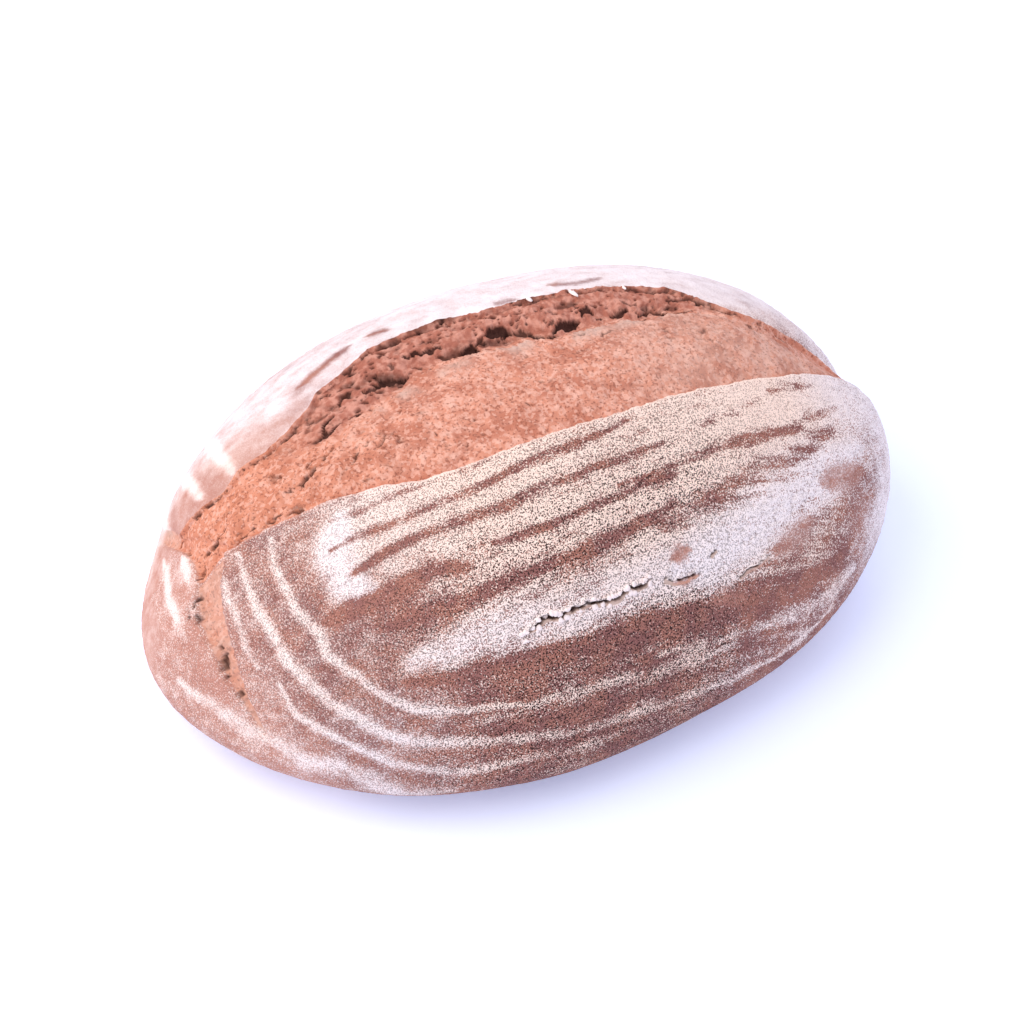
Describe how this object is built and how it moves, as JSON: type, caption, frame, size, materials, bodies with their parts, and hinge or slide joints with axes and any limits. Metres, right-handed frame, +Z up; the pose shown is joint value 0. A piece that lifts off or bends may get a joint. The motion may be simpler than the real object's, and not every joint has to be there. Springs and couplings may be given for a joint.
{
  "type": "country bread loaf",
  "caption": "Oval country bread loaf with a ringed, flour-dusted crust that has burst open along its top over smooth dough and a ragged torn edge.",
  "frame": {"origin": "centre of the loaf's box, on the surface that it stands on", "axes": "+X along the loaf, from the cracked end to the rounder end; +Y from the floured flap towards the torn crust; +Z up"},
  "size_m": [0.2728, 0.1802, 0.1013],
  "materials": {
    "crust": "matte, dusted with flour"
  },
  "bodies": {
    "root": {"loaf": "crust"}
  },
  "joints": []
}
